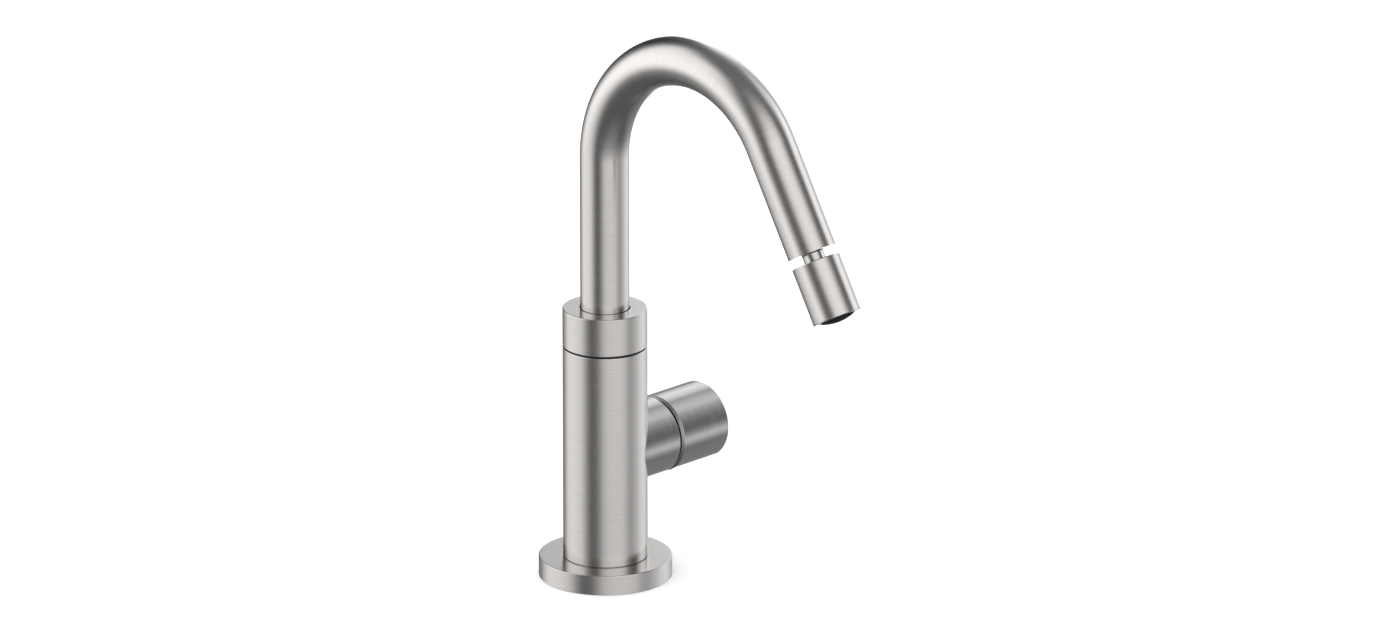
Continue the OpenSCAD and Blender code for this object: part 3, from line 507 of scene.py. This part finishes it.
# The collar at the tube's foot, with the recess for the spigot's flange under it
skin("collar", turned(outline([
    (FLANGE_R, COLLAR_LOW), (COLUMN_R, COLLAR_LOW, EDGE), (COLUMN_R, COLLAR_TOP, EDGE),
    (COLLAR_BORE_R + GAP, COLLAR_TOP), (COLLAR_BORE_R + GAP, COLLAR_TOP - GAP_DEPTH),
    (COLLAR_BORE_R, COLLAR_TOP - GAP_DEPTH), (COLLAR_BORE_R, TUBE_LOW), (FLANGE_R, TUBE_LOW)])),
    SATIN_WALLS, "spout", ["spout_collar"])

# The swan neck, one tube with its two end faces
skin("swan_neck", swept(TUBE_R) + swept(TUBE_BORE_R, inward=True)
     + flat_ring(TUBE_R, TUBE_BORE_R, 0, 1, OUTLET) + flat_ring(TUBE_BORE_R, TUBE_R, TUBE_LOW, -1),
     SATIN_WALLS, "spout", ["spout_tube"])

# The plug in the tube's end, flared down to the neck
skin("tube_plug", turned(outline([
    (NECK_THREAD_R, -PLUG_H), (PLUG_R, -PLUG_H), (PLUG_R, PLUG_GROOVE_LOW), (PLUG_GROOVE_R, PLUG_GROOVE_LOW),
    (PLUG_GROOVE_R, PLUG_GROOVE_HIGH), (PLUG_R, PLUG_GROOVE_HIGH), (PLUG_R, 0), (NECK_R, 0, FLARE_R),
    (NECK_R, FLARE_R + FLARE_STEP), (NECK_THREAD_R, FLARE_R + FLARE_STEP)]), OUTLET),
    SMOOTH_WALLS, "spout", ["outlet_plug"])


def neck_and_ball():
    """A neck that ends in a ball: the ball's rows are its centre plus its radius times (sin a, -cos a), for a from
    where the neck meets it to the flat at its far end."""
    meets, flat = math.asin(NECK_R / BALL_R), math.pi - math.acos((BALL_R - BALL_FLAT) / BALL_R)
    a = np.linspace(meets, flat, BALL_STEPS + 1)
    n = np.stack([np.sin(a), -np.cos(a)], 1)
    ball = np.concatenate([BALL_R * n + [0, BALL_AT], n], 1)
    far = BALL_AT + BALL_R - BALL_FLAT
    stem = outline([
        (STUD_BORE_R, -PLUG_H), (NECK_THREAD_R, -PLUG_H), (NECK_THREAD_R, FLARE_R), (NECK_R, FLARE_R),
        tuple(ball[0, :2])], False)
    bore = outline([
        tuple(ball[-1, :2]), (HEX_R, far), (HEX_R, far - HEX_H), (STUD_BORE_R, far - HEX_H),
        (STUD_BORE_R, -PLUG_H)], False)
    return turned(stem + [ball] + bore, OUTLET)


skin("neck_and_ball", neck_and_ball(), SMOOTH_WALLS, "spout", ["ball_stud"])

# The barrel that tilts on the ball
skin("barrel", turned(outline([
    (BARREL_BORE_R, BARREL_START), (BARREL_R, BARREL_START, EDGE), (BARREL_R, BARREL_END, EDGE),
    (AERATOR_BORE_R, BARREL_END, FINE_EDGE), (AERATOR_BORE_R, WEB_HIGH), (WEB_R, WEB_HIGH), (WEB_R, WEB_LOW),
    (BARREL_BORE_R, WEB_LOW)]), OUTLET),
    SATIN_WALLS, "outlet", ["outlet_barrel"])


def in_grub_hole(angle, height):
    """Whether a point of the knob's wall lies in the grub screw's hole."""
    return (np.abs(angle) < math.pi / 2) & (np.hypot(KNOB_R * np.sin(angle), height - GRUB_X) < GRUB_R)


def hollow_knob():
    """The knob's wall has one hole, for the grub screw underneath."""
    b = ring_angles(HOLE_SEGMENTS)[:-1]
    hole = np.stack([np.arcsin(GRUB_R * np.cos(b) / KNOB_R), GRUB_X + GRUB_R * np.sin(b)], 1)
    low, high = KNOB_START + KNOB_CHAMFER + EDGE, KNOB_END - EDGE
    wall = pierced(KNOB_R, low, high, [hole], in_grub_hole, KNOB)
    outer = turned(outline([(KNOB_R, high), (KNOB_R, KNOB_END, EDGE), (0, KNOB_END)], False), KNOB)
    inner = turned(outline([
        (0, KNOB_END - KNOB_WALL), (KNOB_BORE_R, KNOB_END - KNOB_WALL), (KNOB_BORE_R, KNOB_START, SMALL_EDGE),
        (KNOB_R - KNOB_CHAMFER, KNOB_START, SMALL_EDGE), (KNOB_R, KNOB_START + KNOB_CHAMFER, SMALL_EDGE),
        (KNOB_R, low)], False), KNOB)
    return wall + outer + inner + blind_hole(GRUB_R, GRUB_FLOOR, KNOB_R, GRUB_SCREW)


# The knob's chamfer takes the darker steel of painted shade, which dims its highlight
skin("turning_knob", hollow_knob(), (*SMOOTH_WALLS, SHADED_CHAMFER_STEEL), "knob_set", ["knob"])

camera = bpy.data.objects.new("camera", bpy.data.cameras.new("camera"))
bpy.context.scene.collection.objects.link(camera)
camera.location = CAMERA_AT
camera.rotation_mode = "QUATERNION"
camera.rotation_quaternion = (Vector(CAMERA_TO) - Vector(CAMERA_AT)).to_track_quat("-Z", "Y")
camera.data.lens = LENS
camera.data.clip_end = CAMERA_REACH
bpy.context.scene.camera = camera

# The floor, a wide pale disc that the tap doesn't reflect, in metres
FLOOR_R, FLOOR_POINTS, FLOOR_PALE = 20, 64, 0.97
floor_mesh = bpy.data.meshes.new("floor")
a = ring_angles(FLOOR_POINTS)[:-1]
rim = np.stack([FLOOR_R * np.cos(a), FLOOR_R * np.sin(a), 0 * a], 1)
floor_mesh.from_pydata(rim.tolist(), [], [list(range(FLOOR_POINTS))])
floor = bpy.data.objects.new("floor", floor_mesh)
bpy.context.scene.collection.objects.link(floor)
floor_material, tree, out = blank_material("pale_floor")
pale = wired(tree, "ShaderNodeBsdfDiffuse", color=(FLOOR_PALE, FLOOR_PALE, FLOOR_PALE, 1))
tree.links.new(pale.outputs[0], out.inputs["Surface"])
floor_mesh.materials.append(floor_material)
floor.visible_glossy = False

# The softboxes round the tap, in degrees: middle of the azimuth, half width, softness of the sides, lower edge,
# upper edge, softness of both, then brightness and warmth. Azimuth 0 is +X and 90 is +Y. The last one is a black
# flag, which takes light away.
SOFTBOXES = (
    (118, 38, 30, -39, 26, 20, 0.30, 0.6),
    (252, 32, 24, 19, 56, 19, 0.94, 1.0),
    (248, 36, 11, -13, 24, 17, 1.10, 1.0),
    (251, 29, 19, -53, -15, 12, 0.15, 1.0),
    (351, 20, 17, -21, 50, 8, 0.68, 0.4),
    (41, 4, 3, -38, 18, 7, 1.97, 0.4),
    (11, 43, 10, -57, 62, 20, 0.16, 0.4),
    (292, 78, 27, -26, -6, 14, 0.45, 0.4),
    (320, 12, 4, -19, -16, 13, 0.63, 0.4),
    (132, 38, 17, -21, 54, 15, 1.11, 0.6),
    (32, 11, 3, -13, 43, 19, 1.04, 0.4),
    (342, 18, 3, 10, 25, 14, 0.92, 0.4),
    (70, 28, 3, -3, 32, 18, -0.15, 0.4),
)

# The room's brightness low down and high up, and the elevation and softness of the change between them. A fully
# warm softbox is this much stronger in red, green and blue. All but reflections see an even white studio.
ROOM_LOW, ROOM_HIGH, ROOM_TURN, ROOM_SOFTNESS = 0.128, 0.189, 53, 20
WARM = (0.044, -0.005, -0.039)
EVEN_LIGHT = 1.4


def studio_light(tree):
    """How bright the studio is in each direction: a dim room, and softboxes that each fade out over their edges by
    a smooth step in the angle from their middle and in the elevation. No sum of them goes below nothing."""
    way = wired(tree, "ShaderNodeTexCoord").outputs["Generated"]
    height = wired(tree, "ShaderNodeSeparateXYZ", vector=way).outputs[2]
    elevation = wired(tree, "ShaderNodeMath", {"operation": "ARCSINE"}, i0=height).outputs[0]
    level = wired(tree, "ShaderNodeVectorMath", {"operation": "MULTIPLY"}, i0=way, i1=(1, 1, 0)).outputs[0]
    level = wired(tree, "ShaderNodeVectorMath", {"operation": "NORMALIZE"}, i0=level).outputs[0]

    def fade(value, nothing, full, least=0.0, most=1.0):
        return wired(tree, "ShaderNodeMapRange", {"interpolation_type": "SMOOTHSTEP"}, value=value,
                     from_min=math.radians(nothing), from_max=math.radians(full), to_min=least,
                     to_max=most).outputs[0]

    def times(one, other):
        return wired(tree, "ShaderNodeMath", {"operation": "MULTIPLY"}, i0=one, i1=other).outputs[0]

    total = fade(elevation, ROOM_TURN - ROOM_SOFTNESS, ROOM_TURN + ROOM_SOFTNESS, ROOM_LOW, ROOM_HIGH)
    for middle, half, soft, low, high, edge, brightness, warmth in SOFTBOXES:
        at = math.radians(middle)
        near = wired(tree, "ShaderNodeVectorMath", {"operation": "DOT_PRODUCT"}, i0=level,
                     i1=(math.cos(at), math.sin(at), 0)).outputs[1]
        aside = wired(tree, "ShaderNodeMath", {"operation": "ARCCOSINE"}, i0=near).outputs[0]
        box = times(fade(aside, half + soft, half - soft), fade(elevation, low - edge, low + edge))
        box = times(box, fade(elevation, high + edge, high - edge))
        colour = tuple(brightness * (1 + warmth * tint) for tint in WARM)
        total = wired(tree, "ShaderNodeVectorMath", {"operation": "MULTIPLY_ADD"}, i0=box, i1=colour,
                      i2=total).outputs[0]
    return wired(tree, "ShaderNodeVectorMath", {"operation": "MAXIMUM"}, i0=total, i1=(0, 0, 0)).outputs[0]


# Reflections find the softboxes by themselves, so the studio isn't sampled as a lamp
world = bpy.data.worlds.new("studio")
bpy.context.scene.world = world
world.use_nodes = True
world.cycles.sampling_method = "NONE"
tree = world.node_tree
tree.nodes.clear()
ray = wired(tree, "ShaderNodeLightPath")
seen = wired(tree, "ShaderNodeMix", {"data_type": "RGBA"}, factor=ray.outputs["Is Glossy Ray"],
             a=(EVEN_LIGHT, EVEN_LIGHT, EVEN_LIGHT, 1), b=studio_light(tree))
background = wired(tree, "ShaderNodeBackground", color=seen.outputs[2], strength=1.0)
tree.links.new(background.outputs[0], wired(tree, "ShaderNodeOutputWorld").inputs["Surface"])

bpy.context.scene.view_settings.view_transform = "Standard"
